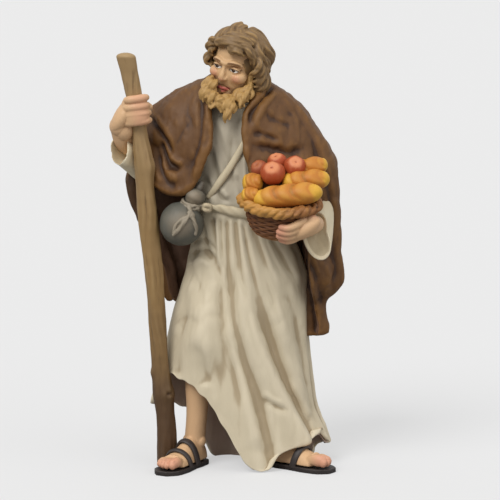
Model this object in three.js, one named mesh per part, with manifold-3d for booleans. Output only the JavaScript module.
// A carved and painted shepherd for a nativity scene: tunic, cloak, staff, basket and gourd.
// Millimetres, +Z up, the figure looks along -Y. The origin ends under the middle of its box.
import * as THREE from 'three';
import { mergeVertices } from 'three/addons/utils/BufferGeometryUtils.js';
import Module from 'manifold-3d';

const wasm = await Module();
wasm.setup();

// Clearances and walls
const GAP = 0.3;
const HIDDEN_GAP = 0.7;
const HEM_WALL = 1.8;
const CLOAK_WALL = 2.6;
const SLIVER = 0.03;

// Tunic and girdle
const WAIST_HEIGHT = 86.5;
const WAIST_SLOPE = 0.2;
const WAIST_HALF_WIDTH = 14.5;
const WAIST_HALF_DEPTH = 10;
const BODY_X = 4.5;
const SKIRT_HALF_WIDTH = 24.8;
const SKIRT_HALF_DEPTH = 13.5;
const HEM_RECESS = 7;
const BLOUSE_BULGE = 2.2;
const SHOULDER_HEIGHT = 124;
const SHOULDER_HALF_WIDTH = 16.5;
const GIRDLE_HEIGHT = 4;
const GIRDLE_THICKNESS = 1.3;
const KNOT_CENTRE = new THREE.Vector3(-6.4, -12.6, WAIST_HEIGHT + 2.1);
const STRAP_WIDTH = 2.3;
const STRAP_THICKNESS = 0.9;

// Cloak
const CLOAK_TOP = SHOULDER_HEIGHT + 7;
const CLOAK_HALF_DEPTH = 17;
const CLOAK_FOLD = 1.1;

// Head
const HEAD_CENTRE = new THREE.Vector3(3.9, -3, SHOULDER_HEIGHT + 11.4);
const HEAD_HALF_WIDTH = 8;
const HEAD_HALF_DEPTH = 9;
const HEAD_HALF_HEIGHT = 11;
const HEAD_TURN = -30;
const HEAD_NOD = 10;
const HEAD_TILT = 13;
const HAIR_THICKNESS = 2.9;
const NECK_RADIUS = 4.6;

// Staff
const STAFF_RADIUS = 3;
const STAFF_TOP = SHOULDER_HEIGHT + 15.6;

// Hands and sleeves
const FINGER_RADIUS = 1.65;
const GRIP_HEIGHT = SHOULDER_HEIGHT - 4.4;
const WRIST_RADIUS = 3;
const CUFF_RADIUS = 6.2;
const SLEEVE_DROP = 6.8;

// Basket
const BASKET_HALF_WIDTH = 11.6;
const BASKET_HALF_DEPTH = 9.6;
const BASKET_DEPTH = 12;
const BASKET_TILT = 14;
const RIM_RADIUS = 1.7;
const BASKET_CENTRE = new THREE.Vector3(17.6, -22.5, WAIST_HEIGHT + 5);

// Gourd
const GOURD_CENTRE = new THREE.Vector3(-14.7, -11.5, WAIST_HEIGHT - 3.5);
const GOURD_RADIUS = 7.3;
const GOURD_TOP_RADIUS = 3.5;
const GOURD_LEAN = 26;

// Feet
const SOLE_THICKNESS = 1.5;
const FOOT_LENGTH = 24;
const FOOT_HALF_WIDTH = 4.4;
const ANKLE_RADIUS = 3.6;
const CALF_RADIUS = 4.4;
const KNEE_HEIGHT = 40;
const SANDAL_STRAP = 0.9;

const rad = THREE.MathUtils.degToRad;
const at = (x, y, z) => new THREE.Vector3(x, y, z);
const bell = (distance, width) => Math.exp(-((distance / width) ** 2));
const step = THREE.MathUtils.smoothstep;

// A smooth curve through stations of [position, value], flat beyond the ends
function track(stations) {
  const last = stations.length - 1;
  const slope = (i) => {
    const [x0, v0] = stations[Math.max(i - 1, 0)];
    const [x1, v1] = stations[Math.min(i + 1, last)];
    return (v1 - v0) / (x1 - x0);
  };
  return (x) => {
    if (x <= stations[0][0]) return stations[0][1];
    if (x >= stations[last][0]) return stations[last][1];
    const i = stations.findIndex((station) => station[0] > x) - 1;
    const [x0, v0] = stations[i];
    const [x1, v1] = stations[i + 1];
    const span = x1 - x0;
    const t = (x - x0) / span;
    const rise = t * t * (3 - 2 * t);
    const lead = t * (1 - t) * (1 - t) * slope(i);
    const tail = t * t * (t - 1) * slope(i + 1);
    return v0 + (v1 - v0) * rise + span * (lead + tail);
  };
}

// Geometry to solid and back
function toSolid(geometry) {
  const bare = geometry.clone();
  bare.deleteAttribute('normal');
  bare.deleteAttribute('uv');
  const merged = mergeVertices(bare, 1e-4);
  return new wasm.Manifold(new wasm.Mesh({
    numProp: 3,
    vertProperties: Float32Array.from(merged.attributes.position.array),
    triVerts: Uint32Array.from(merged.index.array),
  }));
}

function toGeometry(solid) {
  const mesh = solid.getMesh();
  const geometry = new THREE.BufferGeometry();
  geometry.setAttribute('position', new THREE.BufferAttribute(mesh.vertProperties, 3));
  geometry.setIndex(new THREE.BufferAttribute(mesh.triVerts, 1));
  geometry.computeVertexNormals();
  return geometry;
}

// The largest body of a solid, so that a cut leaves no chips
function mainBody(solid) {
  return solid.decompose().reduce((a, b) => (a.volume() > b.volume() ? a : b));
}

const join = (...solids) => solids.reduce((a, b) => a.add(b));
const cut = (solid, ...tools) => tools.reduce((a, b) => a.subtract(b), solid);

// A closed skin over rings of points, with a fan at each end
function skin(rings) {
  const sides = rings[0].length;
  const middle = (ring) => ring.reduce((a, p) => a.add(p), at(0, 0, 0)).divideScalar(sides);
  const ends = [middle(rings[0]), middle(rings[rings.length - 1])];
  const points = [...rings.flat(), ...ends];
  const first = rings.length * sides;
  const faces = [];
  for (let k = 0; k < rings.length - 1; k += 1) {
    for (let i = 0; i < sides; i += 1) {
      const a = k * sides + i;
      const b = k * sides + ((i + 1) % sides);
      faces.push([a, b, b + sides], [a, b + sides, a + sides]);
    }
  }
  for (let i = 0; i < sides; i += 1) {
    const next = (i + 1) % sides;
    faces.push([first, next, i], [first + 1, first - sides + i, first - sides + next]);
  }
  const volume = faces.reduce((sum, [a, b, c]) => (
    sum + points[a].dot(points[b].clone().cross(points[c]))), 0);
  const outward = volume < 0 ? faces.map(([a, b, c]) => [a, c, b]) : faces;
  const geometry = new THREE.BufferGeometry().setFromPoints(points);
  geometry.setIndex(outward.flat());
  return toSolid(geometry);
}

// A limb or cord: round sections of changing size along a smooth route
function limb(route, radii, { sides = 10, steps = 12, flat = 1, grow = 0 } = {}) {
  const curve = new THREE.CatmullRomCurve3(route);
  const frames = curve.computeFrenetFrames(steps, false);
  const radius = track(radii.map((value, i) => [i / (radii.length - 1), value]));
  const rings = [];
  for (let k = 0; k <= steps; k += 1) {
    const t = k / steps;
    const shift = (t === 0 ? -grow : 0) + (t === 1 ? grow : 0);
    const centre = curve.getPoint(t).addScaledVector(frames.tangents[k], shift);
    rings.push(Array.from({ length: sides }, (_, i) => {
      const turn = (2 * Math.PI * i) / sides;
      return centre.clone()
        .addScaledVector(frames.normals[k], (radius(t) + grow) * Math.cos(turn))
        .addScaledVector(frames.binormals[k], (radius(t) * flat + grow) * Math.sin(turn));
    }));
  }
  return skin(rings);
}

// An egg: a sphere with three half sizes, turned and placed
function egg(centre, [rx, ry, rz], { turn = [0, 0, 0], sides = 16, grow = 0 } = {}) {
  const geometry = new THREE.SphereGeometry(1, sides, Math.ceil(sides * 0.7));
  geometry.scale(rx + grow, ry + grow, rz + grow);
  geometry.applyMatrix4(new THREE.Matrix4().makeRotationFromEuler(
    new THREE.Euler(...turn.map(rad))));
  geometry.translate(centre.x, centre.y, centre.z);
  return toSolid(geometry);
}

function block(low, high) {
  const size = high.clone().sub(low);
  const middle = low.clone().add(high).multiplyScalar(0.5);
  const geometry = new THREE.BoxGeometry(size.x, size.y, size.z);
  geometry.translate(middle.x, middle.y, middle.z);
  return toSolid(geometry);
}

// A plate with an outline in the XZ plane, from a front to a back depth
function frontPlate(outline, front, back) {
  const shape = new THREE.Shape(outline.map(([x, z]) => new THREE.Vector2(x, z)));
  const geometry = new THREE.ExtrudeGeometry(shape, { depth: back - front, bevelEnabled: false });
  geometry.rotateX(Math.PI / 2);
  geometry.translate(0, back, 0);
  return toSolid(geometry);
}

// Tunic
const waistAt = (x) => WAIST_HEIGHT - WAIST_SLOPE * (x - BODY_X);

const skirtX = track([
  [0, 8], [12, 5.9], [16, 5], [20, 4.3], [28, 3.8], [40, 3.6], [52, 4.5], [60, 5.7], [66, 6.5],
  [88, BODY_X],
]);
const skirtWidth = track([
  [0, SKIRT_HALF_WIDTH + 4.4], [12, SKIRT_HALF_WIDTH + 2.3], [16, SKIRT_HALF_WIDTH + 1.4],
  [20, SKIRT_HALF_WIDTH + 0.6], [28, SKIRT_HALF_WIDTH - 0.1],
  [40, SKIRT_HALF_WIDTH - 1.1], [52, SKIRT_HALF_WIDTH - 2.4], [60, SKIRT_HALF_WIDTH - 3.7],
  [66, SKIRT_HALF_WIDTH - 4.7], [80, WAIST_HALF_WIDTH + 1.6], [88, WAIST_HALF_WIDTH],
]);
const skirtDepth = track([
  [0, SKIRT_HALF_DEPTH + 1.5], [40, SKIRT_HALF_DEPTH], [66, SKIRT_HALF_DEPTH - 1],
  [80, WAIST_HALF_DEPTH + 0.8], [88, WAIST_HALF_DEPTH],
]);
const hemFront = track([
  [-20, 32], [-15.5, 31], [-9, 27], [-5.5, 23], [-1.5, 17], [2, 10], [6, 3.5], [10.5, 0.6],
  [15, 1.6], [18.5, 6], [23, 8.4], [28, 10], [32, 11.5], [35, 7.5],
]);
const hemBack = track([[-26, 19.5], [-14, 18], [-8, 6], [-5, 0], [27, 0], [32, 5], [36, 8]]);

// Front folds: the X of each at a few heights, with its depth (negative for a ridge), its half
// width and the heights between which it fades
const creases = [
  {
    line: track([[2, 15.8], [20, 11.8], [30, 8.5], [39, 5.2], [54, 2.2], [68, 1.9]]),
    depth: 2.3, width: 2.4, fade: [40, 74],
  },
  { line: track([[19, 5.8], [32, 2.8], [44, 0.2], [64, -2.2]]), depth: 1.3, width: 1.7, fade: [36, 66] },
  {
    line: track([[10, 27.4], [19, 21.8], [28, 17.2], [38, 12.4], [50, 8]]),
    depth: -1.7, width: 2.6, fade: [40, 62],
  },
  {
    line: track([[10, 31.5], [19, 27], [26, 23], [34, 19], [42, 16], [52, 12.6]]),
    depth: 2.8, width: 2.1, fade: [42, 62],
  },
  {
    line: track([[7, 35.5], [15.5, 32.4], [21, 30.4], [28, 28.6], [36, 26.8], [47, 24.4]]),
    depth: 1.4, width: 1.8, fade: [40, 60],
  },
  { line: track([[31, -16.4], [42, -16.6], [52, -14.4], [62, -12.8]]), depth: 1, width: 2, fade: [46, 64] },
  { line: track([[32, -6.2], [44, -8.2], [54, -7.2], [66, -7.5]]), depth: -0.9, width: 3, fade: [50, 66] },
];
const creaseAt = (x, z) => creases.reduce((sum, { line, depth, width, fade }) => (
  sum + depth * bell(x - line(z), width) * step(z, 0, 8) * (1 - step(z, ...fade))), 0);
const kneePush = (x, z) => 3.2 * bell(x + 6, 8) * bell(z - 46, 13);

function skirtForm(grow = 0, sides = 54, rows = 13) {
  const column = (i) => {
    const turn = (2 * Math.PI * i) / sides;
    const angle = turn - 0.15 * Math.sin(turn);
    const front = step(Math.cos(angle), -0.3, 0.25);
    const place = (z, inset) => {
      const pleat = 0.35 * Math.cos(13 * angle) * step(z, 50, 74);
      const back = (1 - step(z, 10, 76)) * (1 - front);
      const fold = back * (1.5 * Math.cos(7 * angle + 0.6) + 0.7 * Math.cos(13 * angle + 0.05 * z));
      const reach = grow - inset + pleat + fold;
      const flap = 5 * bell(angle - 1.42 * Math.PI, 0.34) * bell(z - 18, 14);
      const x = skirtX(z) + (skirtWidth(z) + reach + flap) * Math.sin(angle);
      const y = -(skirtDepth(z) + reach + flap * 0.3) * Math.cos(angle);
      const push = front * (creaseAt(x, z) - kneePush(x, z));
      return at(x, y + push * Math.max(0, Math.cos(angle)) ** 0.5, z);
    };
    const hemAt = (x) => hemBack(x) + (hemFront(x) - hemBack(x)) * front;
    const firstGuess = hemAt(place(14, 0).x);
    const hem = hemAt(place(firstGuess, 0).x);
    const ceiling = Math.max(hemFront(place(14, 0).x), hem - 4) + HEM_RECESS;
    return { place, hem, ceiling, top: waistAt(BODY_X + WAIST_HALF_WIDTH * Math.sin(angle)) };
  };
  const columns = Array.from({ length: sides }, (_, i) => column(i));
  const rings = [];
  for (let k = 0; k <= rows; k += 1) {
    const t = k / rows;
    rings.push(columns.map(({ place, hem, top }) => {
      const z = top + (hem - top) * t;
      const point = place(z, 0);
      point.z += grow * (k === 0) - grow * (k === rows && grow > 0 && hem > grow);
      return point;
    }));
  }
  if (grow > 0) return skin(rings);
  for (let k = 0; k <= 3; k += 1) {
    rings.push(columns.map(({ place, hem, ceiling }) => (
      place(hem + ((ceiling - hem) * k) / 3, HEM_WALL + 0.15 * k))));
  }
  return skin(rings);
}

const bodiceWidth = track([
  [WAIST_HEIGHT - 0.5, WAIST_HALF_WIDTH], [WAIST_HEIGHT + 3.5, WAIST_HALF_WIDTH + BLOUSE_BULGE],
  [SHOULDER_HEIGHT - 24, WAIST_HALF_WIDTH + 2], [SHOULDER_HEIGHT - 10, SHOULDER_HALF_WIDTH],
  [SHOULDER_HEIGHT, 10.5], [SHOULDER_HEIGHT + 4, 6.5],
]);
const bodiceDepth = track([
  [WAIST_HEIGHT - 0.5, WAIST_HALF_DEPTH], [WAIST_HEIGHT + 3.5, WAIST_HALF_DEPTH + BLOUSE_BULGE * 0.7],
  [SHOULDER_HEIGHT - 20, WAIST_HALF_DEPTH + 0.6], [SHOULDER_HEIGHT - 10, WAIST_HALF_DEPTH],
  [SHOULDER_HEIGHT, 7.5], [SHOULDER_HEIGHT + 4, 5.8],
]);

function bodiceForm(grow = 0, sides = 30, rows = 7) {
  const top = SHOULDER_HEIGHT + 3;
  return skin(Array.from({ length: rows + 1 }, (_, k) => (
    Array.from({ length: sides }, (__, i) => {
      const angle = (2 * Math.PI * i) / sides;
      const base = waistAt(BODY_X + WAIST_HALF_WIDTH * Math.sin(angle)) + GAP;
      const z = base + ((top - base) * k) / rows;
      const gather = 0.4 * Math.cos(11 * angle) * bell(z - WAIST_HEIGHT - 6.5, 6);
      const x = BODY_X + (bodiceWidth(z) + grow + gather) * Math.sin(angle);
      const y = -(bodiceDepth(z) + grow + gather) * Math.cos(angle);
      return at(x, y, z + grow * (k === rows) - grow * (k === 0));
    }))));
}

function girdleForm(grow = 0, sides = 30) {
  const half = GIRDLE_HEIGHT / 2 + grow;
  const section = [[-half, 0], [-half, 0.92], [0, 1.15], [half, 0.8], [half, 0]];
  const depth = GIRDLE_THICKNESS + GAP + grow;
  return skin(section.map(([height, share]) => (
    Array.from({ length: sides }, (_, i) => {
      const angle = (2 * Math.PI * i) / sides;
      const reach = -1 + share * (depth + 1 + BLOUSE_BULGE * 0.4);
      const x = BODY_X + (WAIST_HALF_WIDTH + reach) * Math.sin(angle);
      return at(x, -(WAIST_HALF_DEPTH + reach) * Math.cos(angle), waistAt(x) + height);
    }))));
}

const knotForm = (grow = 0) => egg(KNOT_CENTRE, [2, 1.4, 1.3], { turn: [0, 12, 0], sides: 8, grow });

// Cloak: its heights are measured up from the shoulders
const cloakX = track([
  [-81, 6.5], [-73, 6.4], [-68.5, 6.6], [-65.5, 7.6], [-62, 8.4], [-58, 8.2], [-51, 6.3], [-43, 4.9],
  [-34, 3], [-27, 2.2], [-20, 3], [-11, 1], [-4, 0.6], [0, 1], [3, 1.4], [7, 3.5],
]);
const cloakWidth = track([
  [-81, 26.6], [-77.5, 27.3], [-73, 26.3], [-68.5, 26.3], [-65.5, 28.4], [-62, 30.1], [-58, 30.6],
  [-51, 31.6], [-43, 33.2], [-34, 35], [-27, 35.3], [-20, 33.4], [-11, 29.8], [-4, 25.4], [0, 20.8],
  [3, 16], [7, 8],
]);
const cloakDepth = track([
  [-81, CLOAK_HALF_DEPTH - 1.5], [-60, CLOAK_HALF_DEPTH], [-43, CLOAK_HALF_DEPTH + 1],
  [-27, CLOAK_HALF_DEPTH + 1], [-11, CLOAK_HALF_DEPTH - 1], [-2, CLOAK_HALF_DEPTH - 4],
  [3, CLOAK_HALF_DEPTH - 6.5], [7, CLOAK_HALF_DEPTH - 9],
]);
const cloakHem = track([[-30, -67], [-14, -69], [0, -73], [14, -77], [27, -80.5], [36, -78]]);
const CLOAK_Y = 1.5;
const cloakCreases = [
  { line: track([[-25, -15.5], [-15, -20.5], [-7, -25]]), depth: 2.2, width: 2.2, fade: [-32, -26] },
  { line: track([[-29, -8], [-16, -11.5], [-2, -15]]), depth: 1.4, width: 1.8, fade: [-27, -20] },
  { line: track([[-64, 31], [-44, 31.5], [-19, 25], [-2, 17]]), depth: 1.6, width: 2.4, fade: [-79, -64] },
  { line: track([[-34, 24], [-18, 19], [-4, 12]]), depth: 1.3, width: 2, fade: [-34, -24] },
];

function cloakForm(grow = 0, sides = 48, rows = 16) {
  const top = CLOAK_TOP - SHOULDER_HEIGHT;
  return skin(Array.from({ length: rows + 1 }, (_, k) => (
    Array.from({ length: sides }, (__, i) => {
      const angle = (2 * Math.PI * i) / sides;
      const hem = cloakHem(cloakX(-74) + cloakWidth(-74) * Math.sin(angle));
      const h = top + (hem - top) * (k / rows) ** 1.35;
      const low = 1 - step(h, -64, -6);
      const pleat = 0.75 * Math.cos(13 * angle - 0.02 * h + 1) * step(-Math.cos(angle), -0.1, 0.5);
      const wave = CLOAK_FOLD * Math.cos(9 * angle + 0.035 * (h + 64)) * (0.35 + low);
      const fold = wave + pleat * (1 - step(h, -14, 2));
      const x = cloakX(h) + (cloakWidth(h) + grow + fold * 0.7) * Math.sin(angle);
      const y = CLOAK_Y - (cloakDepth(h) + grow + fold) * Math.cos(angle);
      const dent = Math.max(0, Math.cos(angle)) * cloakCreases.reduce((sum, crease) => (
        sum + crease.depth * bell(x - crease.line(h), crease.width) * step(h, ...crease.fade)), 0);
      return at(x, y + dent, SHOULDER_HEIGHT + h + grow * (k === 0) - grow * (k === rows));
    }))));
}

// The opening in front: the two lapels, the end of the drape on the arm, then the right edge
const cloakOpening = [
  [0.5, 5], [-5.8, -2.5], [-5.4, -13.3], [-9.5, -23.5], [-8.6, -25.9], [-13.5, -30.6], [-18.5, -31],
  [-25, -27], [-45, -27], [-45, -94], [27, -94], [27, -54], [24.5, -40], [10, -32], [8, -22.5],
  [6.3, -13.8], [6.8, -4.3], [13, 3.5],
].map(([x, height]) => [x, SHOULDER_HEIGHT + height]);

// Head, in its own frame: the face looks along -Y from the middle of the skull
const headTurn = new THREE.Matrix4()
  .makeRotationFromEuler(new THREE.Euler(rad(HEAD_NOD), rad(HEAD_TILT), rad(HEAD_TURN), 'ZYX'))
  .setPosition(HEAD_CENTRE);

function skullRadius(direction) {
  const { x, y, z } = direction;
  const oval = 1 / Math.hypot(x / HEAD_HALF_WIDTH, y / HEAD_HALF_DEPTH, z / HEAD_HALF_HEIGHT);
  const front = step(-y, 0.1, 0.8);
  const cheekHollow = 0.9 * bell(Math.abs(x) - 0.7, 0.3) * step(-z, 0.2, 0.7);
  const jaw = -1.5 * step(-z, 0.25, 0.9) * (1 - front * 0.6) - cheekHollow;
  const nose = 2.4 * bell(x, 0.12) * bell(z + 0.17, 0.11) + 1.1 * bell(x, 0.1) * bell(z - 0.02, 0.14);
  const brow = 0.5 * bell(z - 0.2, 0.07) * bell(Math.abs(x) - 0.3, 0.25);
  const socket = -0.8 * bell(z - 0.07, 0.09) * bell(Math.abs(x) - 0.33, 0.14);
  const cheek = 0.5 * bell(z + 0.15, 0.14) * bell(Math.abs(x) - 0.45, 0.16);
  const mouth = 0.45 * bell(z + 0.44, 0.07) * bell(x, 0.2);
  const chin = 0.8 * bell(z + 0.78, 0.16) * bell(x, 0.25);
  return oval + jaw + front * (nose + brow + socket + cheek + mouth + chin);
}

// A skin round the skull: thickness gives its height over it in each direction
function roundSkull(thickness, [around, up]) {
  const geometry = new THREE.SphereGeometry(1, around, up);
  geometry.rotateX(Math.PI / 2);
  const position = geometry.attributes.position;
  const direction = new THREE.Vector3();
  for (let i = 0; i < position.count; i += 1) {
    direction.fromBufferAttribute(position, i).normalize();
    const reach = skullRadius(direction) + thickness(direction);
    position.setXYZ(i, direction.x * reach, direction.y * reach, direction.z * reach);
  }
  geometry.applyMatrix4(headTurn);
  return toSolid(geometry);
}

const neckRoute = [
  HEAD_CENTRE.clone().add(at(0.5, 2, -4)),
  at(BODY_X + 0.3, 0.6, SHOULDER_HEIGHT - 6),
];
const headForm = (grow = 0) => join(
  roundSkull(() => grow, [22, 16]),
  limb(neckRoute, [NECK_RADIUS, NECK_RADIUS + 0.6], { steps: 2, grow }),
);

function hairThickness({ x, y, z }) {
  const turn = Math.atan2(x, -y);
  const face = step(1.25 - Math.abs(turn), 0, 0.5) * (1 - step(z, 0.5, 0.72));
  const nape = step(-z, 0.35, 0.75);
  const locks = 0.75 * Math.cos(7 * turn + 5 * z) + 0.45 * Math.cos(13 * turn - 9 * z);
  return (HAIR_THICKNESS + locks) * (1 - nape) - 5 * face - 3 * nape;
}

function beardThickness({ x, y, z }) {
  const turn = Math.abs(Math.atan2(x, -y));
  const sideburn = bell(turn - 1.2, 0.35) * (1 - step(z, -0.1, 0.15));
  const jaw = step(-z, 0.45, 0.68) * (1 - step(turn, 1.3, 1.9));
  return 2.7 * Math.max(sideburn * 0.8, jaw) + 0.35 * Math.cos(16 * turn) - 1.2;
}

const chinPoint = (x, y, z) => at(x, y, z).add(HEAD_CENTRE);
const beardForm = (grow = 0) => join(
  roundSkull((direction) => beardThickness(direction) + grow, [20, 14]),
  limb([chinPoint(-4.4, -5.5, -5.5), chinPoint(-8.6, -9.4, -9.5), chinPoint(-8.4, -10.8, -14.5)],
    [4, 3.9, 1.2], { grow, sides: 9, steps: 6 }),
  limb([chinPoint(-2, -7, -8.5), chinPoint(-2.6, -10.4, -13.5), chinPoint(-3.4, -10.8, -18.6)],
    [4.2, 3.6, 1.1], { grow, sides: 9, steps: 6 }),
);

// Staff: centre X and thickness along its height
const staffX = track([
  [0, -20], [11, -20.2], [25, -21.2], [44, -22.5], [67, -24.1], [84, -25.7], [95, -26.5],
  [103, -27], [114, -28.5], [126, -30.1], [STAFF_TOP, -32.6],
]);
const staffY = (z) => -2.2 - 0.098 * z;
const staffSwell = track([
  [0, 0.2], [11, 0.3], [19, 0.1], [25, 0.35], [34, -0.1], [54, -0.15], [84, 0.2], [95, 0],
  [103, 0.2], [114, -0.5], [126, -0.4], [132, -0.3], [136, 0], [STAFF_TOP, 0.3],
]);
const staffAt = (z) => at(staffX(z), staffY(z), z);

function staffForm(grow = 0) {
  const sides = 9;
  const rows = 22;
  return skin(Array.from({ length: rows + 1 }, (_, k) => {
    const crown = Math.max(0, k - rows + 1);
    const z = crown ? STAFF_TOP : ((STAFF_TOP - 1.2) * k) / (rows - 1);
    const centre = staffAt(z);
    return Array.from({ length: sides }, (__, i) => {
      const angle = (2 * Math.PI * i) / sides;
      const ridge = 0.22 * Math.cos(3 * angle + z * 0.12);
      const reach = (STAFF_RADIUS + staffSwell(z) + ridge) * (1 - 0.35 * crown) + grow;
      const lift = grow * (k === rows) - grow * (k === 0);
      return centre.clone().add(at(reach * Math.sin(angle), -reach * Math.cos(angle), lift));
    });
  }));
}

// Right arm and the hand closed round the staff, placed from the middle of the grip
const grip = staffAt(GRIP_HEIGHT);
const fromGrip = (x, y, z) => at(x, y, z).add(grip);
const shoulder = at(BODY_X, 0, SHOULDER_HEIGHT);
const fromShoulder = (x, y, z) => at(x, y, z).add(shoulder);
const rightSleeveForm = (grow = 0) => limb(
  [fromShoulder(-16.5, 1, -12), fromShoulder(-25.5, 2, -21), fromGrip(2, 11.4, -18.6),
    fromGrip(-4.6, 5.3, -15)],
  [5, 5.4, 5.2, CUFF_RADIUS], { grow, sides: 14, steps: 10, flat: 0.9 });
const wristForm = (grow = 0) => limb(
  [fromGrip(-1.2, 7.9, -17.2), fromGrip(-5.2, 4.3, -13.2), fromGrip(-5, 2.5, -7.6)],
  [WRIST_RADIUS, WRIST_RADIUS + 0.2, WRIST_RADIUS + 0.9], { sides: 10, steps: 5, grow });

// One finger of the right hand, from the knuckle round the front of the staff
function grippingFinger(i, grow) {
  const lift = (i - 1.5) * 2 * (FINGER_RADIUS - 0.1);
  const centre = staffAt(GRIP_HEIGHT + lift);
  const reach = STAFF_RADIUS + FINGER_RADIUS * 0.95;
  const route = [225, 185, 145, 105, 65, 24].map((degrees) => {
    const angle = rad(degrees);
    return centre.clone().add(at(reach * Math.cos(angle), -reach * Math.sin(angle), 0));
  });
  route[0].x -= 1.2;
  route[1].x -= 1.6 - 0.5 * i;
  const tip = FINGER_RADIUS - 0.5;
  return limb(route, [FINGER_RADIUS, FINGER_RADIUS, FINGER_RADIUS, FINGER_RADIUS, tip + 0.3, tip],
    { sides: 6, steps: 6, grow });
}

const rightHandForm = (grow = 0) => join(
  ...[0, 1, 2, 3].map((i) => grippingFinger(i, grow)),
  wristForm(grow),
  egg(fromGrip(-4, 1.5, -3.2), [4.4, 4.6, 6.4], { turn: [0, 20, 0], grow, sides: 12 }),
  limb([fromGrip(-3.2, 3.4, -4.6), fromGrip(1.2, 4.9, -0.6), fromGrip(4.2, 2.9, 1.4)],
    [2, 1.9, 1.3], { grow, sides: 6, steps: 4 }),
);

// Left arm, its hanging sleeve and the hand under the basket
const fromBasket = (x, y, z) => at(x, y, z).add(BASKET_CENTRE);
const underBasket = (x, y, z) => fromBasket(x, y, z - BASKET_DEPTH);

function leftSleeveForm(grow = 0) {
  const sides = 16;
  const stations = [
    { centre: fromBasket(13, 27.5, 0.5), half: [3.6, 3.6] },
    { centre: fromBasket(13.8, 18.5, -4.5), half: [4, 4.8] },
    { centre: fromBasket(12.8, 10.5, -8.3), half: [4.2, 5.8] },
    { centre: fromBasket(11.2, 4, -10.3), half: [4.6, SLEEVE_DROP] },
  ];
  return skin(stations.map(({ centre, half }, k) => (
    Array.from({ length: sides }, (_, i) => {
      const angle = (2 * Math.PI * i) / sides;
      const hang = Math.max(0, -Math.sin(angle)) * k;
      const slide = k === 3 ? -grow : grow * (k === 0);
      return centre.clone().add(at(
        (half[0] + grow) * Math.cos(angle) + 0.8 * hang,
        slide + 0.9 * k * Math.sin(angle),
        (half[1] * (1 + 0.12 * hang) + grow) * Math.sin(angle),
      ));
    }))));
}

// One finger of the left hand, flat under the bowl
function carryingFinger(i, grow) {
  const route = [
    underBasket(6, 2.1 - 2.2 * i, 1.9),
    underBasket(1.4, 1.7 - 2.3 * i, -0.6),
    underBasket(-2.2 + 0.4 * i, 1.5 - 2.3 * i, -0.1),
  ];
  return limb(route, [1.5, 1.5, 1], { grow, sides: 6, steps: 4 });
}

const leftHandForm = (grow = 0) => join(
  egg(underBasket(7.2, -0.9, 2.9), [5.6, 4.8, 3], { turn: [0, 26, 0], grow, sides: 12 }),
  limb([fromBasket(12.4, 6, -7.5), underBasket(8.4, 1.5, 3.5)], [2.7, 3], { grow, steps: 3 }),
  ...[0, 1, 2, 3].map((i) => carryingFinger(i, grow)),
  limb([underBasket(8.8, -3.5, 3.9), underBasket(9, -7.5, 6.1), underBasket(8, -9.1, 8.7)],
    [2, 1.8, 1.3], { grow, sides: 6, steps: 4 }),
);

// Basket with its load
const basketTurn = new THREE.Matrix4()
  .makeRotationFromEuler(new THREE.Euler(rad(BASKET_TILT), rad(3), 0))
  .setPosition(BASKET_CENTRE);

function basketForm(grow = 0) {
  const profile = [
    [0, -BASKET_DEPTH], [0.42, -BASKET_DEPTH], [0.68, -BASKET_DEPTH * 0.86], [0.86, -BASKET_DEPTH * 0.58],
    [0.95, -BASKET_DEPTH * 0.25], [0.97, -RIM_RADIUS * 0.5], [0.8, 2], [0.55, 6], [0.25, 8], [0, 8.4],
  ];
  const points = profile.map(([share, height]) => {
    const reach = share === 0 ? 0 : share * BASKET_HALF_WIDTH + grow;
    return new THREE.Vector2(reach, height + Math.sign(height + 1) * grow);
  });
  const geometry = new THREE.LatheGeometry(points, 22);
  geometry.rotateX(Math.PI / 2);
  geometry.scale(1, BASKET_HALF_DEPTH / BASKET_HALF_WIDTH, 1);
  geometry.applyMatrix4(basketTurn);
  return toSolid(geometry);
}

function rimForm(grow = 0) {
  const around = 32;
  const sides = 6;
  const geometry = new THREE.TorusGeometry(1, 0.1, sides, around);
  const position = geometry.attributes.position;
  for (let i = 0; i < position.count; i += 1) {
    const turn = Math.atan2(position.getY(i), position.getX(i));
    const out = Math.hypot(position.getX(i), position.getY(i)) - 1;
    const braid = 1 + 0.12 * Math.cos(16 * turn + 2 * Math.atan2(position.getZ(i), out));
    const reach = ((RIM_RADIUS * braid + grow) / 0.1);
    const x = Math.cos(turn) * (BASKET_HALF_WIDTH + 0.6 + out * reach);
    const y = Math.sin(turn) * (BASKET_HALF_DEPTH + 0.6 + out * reach);
    position.setXYZ(i, x, y, position.getZ(i) * reach);
  }
  geometry.applyMatrix4(basketTurn);
  return toSolid(geometry);
}

// The load in carving order, placed from the middle of the rim: each later one is cut to sit
// against the earlier ones
const load = [
  { name: 'loaf_front', centre: [2.4, -5, 2.7], half: [11.2, 4.2, 3.5], turn: [0, -7, -4] },
  { name: 'loaf_middle', centre: [8.4, 1.5, 6.9], half: [7.8, 4, 3.3], turn: [0, -4, 8] },
  { name: 'apple_front', centre: [-2.4, 0, 9.5], half: [4.1, 4.1, 4] },
  { name: 'apple_right', centre: [4.8, 3, 11.3], half: [3.6, 3.5, 3.4] },
  { name: 'loaf_back', centre: [10.4, 6, 11], half: [5.2, 3.2, 2.8], turn: [0, -8, 10] },
  { name: 'apple_back', centre: [-0.9, 6.3, 12.3], half: [3.3, 3.2, 3.1] },
  { name: 'bun_upper', centre: [-8.9, 1.5, 6.1], half: [3.4, 3.6, 3.1] },
  { name: 'apple_dark', centre: [-6.6, 5.9, 10.1], half: [3, 2.8, 3] },
  { name: 'bun_lower', centre: [-9.6, -3.3, 2.7], half: [3, 2.9, 2.5] },
];
const loadForm = ({ centre, half, turn }, grow = 0) => (
  egg(fromBasket(...centre), half, { turn, grow, sides: 10 }));

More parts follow.
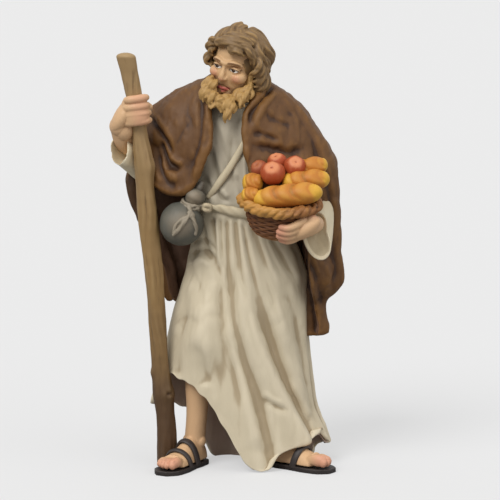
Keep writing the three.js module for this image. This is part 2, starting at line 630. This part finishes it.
// Gourd flask at the waist
const gourdTurn = new THREE.Matrix4()
  .makeRotationFromEuler(new THREE.Euler(rad(4), rad(GOURD_LEAN), 0))
  .setPosition(GOURD_CENTRE);

function lathe(profile, grow, sides = 16) {
  const points = profile.map(([reach, height]) => (
    new THREE.Vector2(reach === 0 ? 0 : reach + grow, height)));
  points[0].y -= grow;
  points[points.length - 1].y += grow;
  const geometry = new THREE.LatheGeometry(points, sides);
  geometry.rotateX(Math.PI / 2);
  geometry.applyMatrix4(gourdTurn);
  return toSolid(geometry);
}

const gourdNeck = GOURD_RADIUS * 0.94;
const gourdTop = gourdNeck + GOURD_TOP_RADIUS * 1.75;
const gourdForm = (grow = 0) => lathe([
  [0, -GOURD_RADIUS], [GOURD_RADIUS * 0.5, -GOURD_RADIUS * 0.86], [GOURD_RADIUS * 0.87, -GOURD_RADIUS * 0.5],
  [GOURD_RADIUS, 0], [GOURD_RADIUS * 0.87, GOURD_RADIUS * 0.5], [GOURD_RADIUS * 0.5, GOURD_RADIUS * 0.84],
  [2.3, gourdNeck], [GOURD_TOP_RADIUS * 0.85, gourdNeck + 1.6], [GOURD_TOP_RADIUS, gourdNeck + 3.3],
  [GOURD_TOP_RADIUS * 0.8, gourdNeck + 5.2], [1.4, gourdTop], [0, gourdTop],
], grow);
const stopperForm = (grow = 0) => lathe([
  [0, gourdTop + GAP], [1.3, gourdTop + GAP], [1.5, gourdTop + 1.6], [1.2, gourdTop + 3],
  [0, gourdTop + 3.2],
], grow, 12);
const gourdPoint = (x, y, z) => at(x, y, z).applyMatrix4(gourdTurn);

function tieForm(grow = 0) {
  const ring = new THREE.TorusGeometry(2.3 + GAP + 0.8, 0.8 + grow, 5, 12);
  ring.translate(0, 0, gourdNeck);
  ring.applyMatrix4(gourdTurn);
  const end = (...route) => limb(route, [0.9, 0.9, 0.6], { sides: 5, steps: 4, grow });
  const lead = [gourdPoint(2.6, 0.6, gourdNeck), KNOT_CENTRE.clone().add(at(0, 1.2, 0))];
  return join(
    toSolid(ring),
    end(gourdPoint(-2, -2.6, gourdNeck), gourdPoint(-6, -4.5, 4.4), gourdPoint(-7.6, -3.6, -1)),
    end(gourdPoint(2, -2.8, gourdNeck), gourdPoint(5.6, -4.6, 3.6), gourdPoint(6.4, -4.4, -1)),
    limb(lead, [0.9, 0.9], { sides: 6, steps: 2, grow }),
  );
}

// Feet, in a frame that runs from the heel along +X
const footWidth = track([
  [-1.6, 0.4], [0, 2.4], [4, 3.2], [10, 3.5], [16, FOOT_HALF_WIDTH], [21, FOOT_HALF_WIDTH - 0.3],
  [FOOT_LENGTH, 1.6],
]);
const footHeight = track([
  [-1.6, 2], [0, 4.6], [4, 8], [8, 7.8], [12, 5.6], [17, 3.6], [21, 2.7], [FOOT_LENGTH, 1.6],
]);
const FOOT_BASE = SOLE_THICKNESS + GAP;

function footForm(grow, inner) {
  const sides = 12;
  const rows = 8;
  const form = skin(Array.from({ length: rows + 1 }, (_, k) => {
    const x = -1.4 + ((FOOT_LENGTH + 1) * k) / rows;
    const slide = grow * (k === rows) - grow * (k === 0);
    return Array.from({ length: sides }, (__, i) => {
      const angle = (2 * Math.PI * i) / sides;
      const rise = Math.max(0, Math.sin(angle)) * (footHeight(x) + grow);
      const sink = Math.min(0, Math.sin(angle)) * (0.5 + grow);
      return at(x + slide, (footWidth(x) + grow) * Math.cos(angle), FOOT_BASE + 0.5 + rise + sink);
    });
  }));
  const toes = [[3, 20.6, 1.5], [1.3, 21.8, 1.3], [-0.1, 22, 1.2], [-1.4, 21.4, 1.1], [-2.6, 20.4, 1]];
  const balls = toes.map(([side, reach, size]) => egg(
    at(reach, side * inner * 1.1, FOOT_BASE + size * 1.25), [size * 1.9, size, size * 1.2], { sides: 6, grow }));
  return join(form, ...balls);
}

function soleForm(grow = 0) {
  const count = 9;
  const edge = (side) => Array.from({ length: count }, (_, k) => {
    const x = -1.8 + ((FOOT_LENGTH + 2.8) * (k + 0.5)) / count;
    return new THREE.Vector2(x, side * (footWidth(Math.min(x, 21)) * 0.96 + 0.9 + grow));
  });
  const shape = new THREE.Shape([
    new THREE.Vector2(-2.2 - grow, 0), ...edge(-1), new THREE.Vector2(FOOT_LENGTH + 1.4 + grow, 0),
    ...edge(1).reverse(),
  ]);
  return toSolid(new THREE.ExtrudeGeometry(shape, { depth: SOLE_THICKNESS + grow, bevelEnabled: false }));
}

function sandalStrap(from, to, inner) {
  const slab = new THREE.BoxGeometry(STRAP_WIDTH, 40, 60);
  slab.applyMatrix4(new THREE.Matrix4().makeRotationY(Math.atan2(to - from, 9)));
  slab.translate((from + to) / 2, 0, 5);
  const band = footForm(GAP + SANDAL_STRAP, inner).intersect(toSolid(slab));
  return cut(band, footForm(GAP, inner), soleForm(GAP));
}

function placeFoot(heel, toe) {
  const yaw = Math.atan2(toe.y - heel.y, toe.x - heel.x);
  const matrix = new THREE.Matrix4().makeRotationZ(yaw).setPosition(heel.x, heel.y, 0);
  return (solid) => solid.transform(matrix.elements);
}

const RIGHT_HEEL = at(-8.6, 1.5, 0);
const placeRight = placeFoot(RIGHT_HEEL, at(-21, -19, 0));
const placeLeft = placeFoot(at(14.6, -1.5, 0), at(32.6, -13.5, 0));
const fromHeel = (x, y, z) => at(x, y, z).add(RIGHT_HEEL);
const calf = (grow = 0) => limb(
  [fromHeel(-1.6, -3.1, 5), fromHeel(-1.4, -4, 14), fromHeel(-1, -5, 26), fromHeel(0, -5.5, KNEE_HEIGHT)],
  [ANKLE_RADIUS, ANKLE_RADIUS, CALF_RADIUS, CALF_RADIUS + 0.4], { grow, sides: 12, steps: 6 });

// Shoulder strap across the chest
function strapForm(grow = 0) {
  const outline = [
    [BODY_X - 11.3, WAIST_HEIGHT + 5.1], [BODY_X - 8.9, WAIST_HEIGHT + 4.5],
    [BODY_X + 4.1, SHOULDER_HEIGHT - 13.5], [BODY_X + 10.5, SHOULDER_HEIGHT - 5],
    [BODY_X + 8.1, SHOULDER_HEIGHT - 3], [BODY_X + 1.9, SHOULDER_HEIGHT - 12],
  ];
  const band = frontPlate(outline, -30, 0);
  return bodiceForm(GAP + STRAP_THICKNESS + grow).intersect(band);
}

// Solids, inner ones first; each outer one is cut back by its neighbours and the clearance, and
// then loses the faces finer than a sliver
const solids = new Map();
const add = (name, solid) => solids.set(name, mainBody(solid).simplify(SLIVER));
const ground = block(at(-80, -80, -20), at(80, 80, 0));

add('staff', cut(staffForm(), ground));
add('head', headForm());
add('right_leg', join(placeRight(footForm(0, 1)), calf()));
add('left_foot', placeLeft(footForm(0, -1)));
add('right_sole', placeRight(soleForm()));
add('left_sole', placeLeft(soleForm()));
add('right_strap_front', placeRight(sandalStrap(13.5, 16.5, 1)));
add('right_strap_rear', cut(placeRight(sandalStrap(3.5, 7, 1)), calf(GAP)));
add('left_strap', placeLeft(sandalStrap(12, 14, -1)));

const shod = [
  placeRight(footForm(GAP, 1)), placeLeft(footForm(GAP, -1)), placeRight(soleForm(GAP)),
  placeLeft(soleForm(GAP)), calf(GAP), placeLeft(footForm(GAP + SANDAL_STRAP + GAP, -1)),
  placeRight(footForm(GAP + SANDAL_STRAP + GAP, 1)),
];
add('tunic_skirt', cut(skirtForm(), ...shod, staffForm(GAP), ground));
add('tunic_bodice', cut(bodiceForm(), headForm(GAP), skirtForm(GAP)));
add('girdle', cut(girdleForm(), bodiceForm(GAP), skirtForm(GAP)));
add('girdle_knot', cut(knotForm(), girdleForm(GAP), bodiceForm(GAP), skirtForm(GAP, 30, 9)));
add('shoulder_strap', cut(
  strapForm(), bodiceForm(GAP), girdleForm(GAP), knotForm(GAP), headForm(GAP), beardForm(GAP)));

add('hair', cut(roundSkull(hairThickness, [26, 15]), headForm(GAP)));
const hairBand = roundSkull((d) => hairThickness(d) + GAP, [26, 15]);
add('beard', cut(beardForm(), headForm(GAP), hairBand, bodiceForm(GAP)));

add('right_hand', cut(rightHandForm(), staffForm(GAP)));
add('right_sleeve', cut(rightSleeveForm(), staffForm(GAP), bodiceForm(GAP), rightHandForm(GAP)));
add('basket_bowl', basketForm());
add('basket_rim', cut(rimForm(), basketForm(GAP)));
add('left_hand', cut(leftHandForm(), basketForm(GAP), rimForm(GAP)));
add('left_sleeve', cut(leftSleeveForm(), leftHandForm(GAP), rimForm(GAP), basketForm(GAP), bodiceForm(GAP)));
const carriers = [basketForm(GAP), rimForm(GAP), bodiceForm(GAP), girdleForm(GAP)];
load.forEach((item, i) => {
  const earlier = load.slice(0, i).map((other) => loadForm(other, GAP));
  add(item.name, cut(loadForm(item), ...carriers, ...earlier));
});

add('gourd_flask', cut(gourdForm(), skirtForm(GAP), bodiceForm(GAP), girdleForm(GAP), knotForm(GAP)));
add('gourd_stopper', cut(stopperForm(), bodiceForm(GAP)));
add('gourd_tie', cut(
  tieForm(), gourdForm(GAP), bodiceForm(GAP), girdleForm(GAP), skirtForm(GAP), knotForm(GAP)));

const opening = frontPlate(cloakOpening, -60, -1);
const hollowReach = block(
  at(-60, -60, SHOULDER_HEIGHT - 94), at(BODY_X, 60, SHOULDER_HEIGHT - 31));
const hollow = cloakForm(-CLOAK_WALL, 30, 10).intersect(hollowReach);
const cloakNeighbours = [
  bodiceForm(HIDDEN_GAP, 24, 6), skirtForm(HIDDEN_GAP, 30, 9), girdleForm(HIDDEN_GAP, 24), strapForm(GAP),
  headForm(GAP), hairBand, beardForm(GAP),
  rightSleeveForm(GAP), rightHandForm(GAP), staffForm(GAP), leftSleeveForm(GAP), leftHandForm(GAP),
  basketForm(GAP), rimForm(GAP), gourdForm(GAP), stopperForm(GAP), tieForm(GAP), knotForm(GAP),
  ...load.map((item) => loadForm(item, GAP)),
];
add('cloak', cut(cloakForm(), opening, hollow, ...cloakNeighbours));

// Paints
const paint = (color, roughness) => ({ color, roughness, metalness: 0 });
const CREAM = paint('#c6b99c', 0.62);
const BROWN = paint('#6b4a2c', 0.6);
const SKIN = paint('#c8a276', 0.5);
const LEATHER = paint('#2e2623', 0.55);
const CRUST = paint('#bf8a35', 0.55);
const APPLE = paint('#c4512f', 0.45);
const CORD = paint('#b9a98a', 0.7);
const paints = {
  tunic_skirt: CREAM,
  tunic_bodice: paint('#9c9484', 0.62),
  girdle: CORD,
  girdle_knot: CORD,
  shoulder_strap: CORD,
  cloak: BROWN,
  head: SKIN,
  hair: paint('#7a6040', 0.6),
  beard: paint('#b08c54', 0.6),
  right_sleeve: CREAM,
  right_hand: SKIN,
  staff: paint('#8a6a42', 0.65),
  left_sleeve: CREAM,
  left_hand: SKIN,
  basket_bowl: paint('#4b2d20', 0.6),
  basket_rim: paint('#6e4526', 0.6),
  loaf_front: CRUST,
  loaf_middle: CRUST,
  loaf_back: CRUST,
  apple_front: APPLE,
  apple_right: APPLE,
  apple_back: APPLE,
  apple_dark: paint('#7a2a22', 0.45),
  bun_upper: CRUST,
  bun_lower: CRUST,
  gourd_flask: paint('#6c7074', 0.5),
  gourd_stopper: LEATHER,
  gourd_tie: CORD,
  right_leg: SKIN,
  left_foot: SKIN,
  right_sole: LEATHER,
  left_sole: LEATHER,
  right_strap_front: LEATHER,
  right_strap_rear: LEATHER,
  left_strap: LEATHER,
};

const figure = new THREE.Group();
for (const [name, solid] of solids) {
  const mesh = new THREE.Mesh(toGeometry(solid), new THREE.MeshStandardMaterial(paints[name]));
  mesh.name = name;
  figure.add(mesh);
}
const bounds = new THREE.Box3().setFromObject(figure);
const middle = bounds.getCenter(new THREE.Vector3());
figure.position.set(-middle.x, -middle.y, -bounds.min.z);

const shepherd = new THREE.Group();
shepherd.add(figure);
export default shepherd;
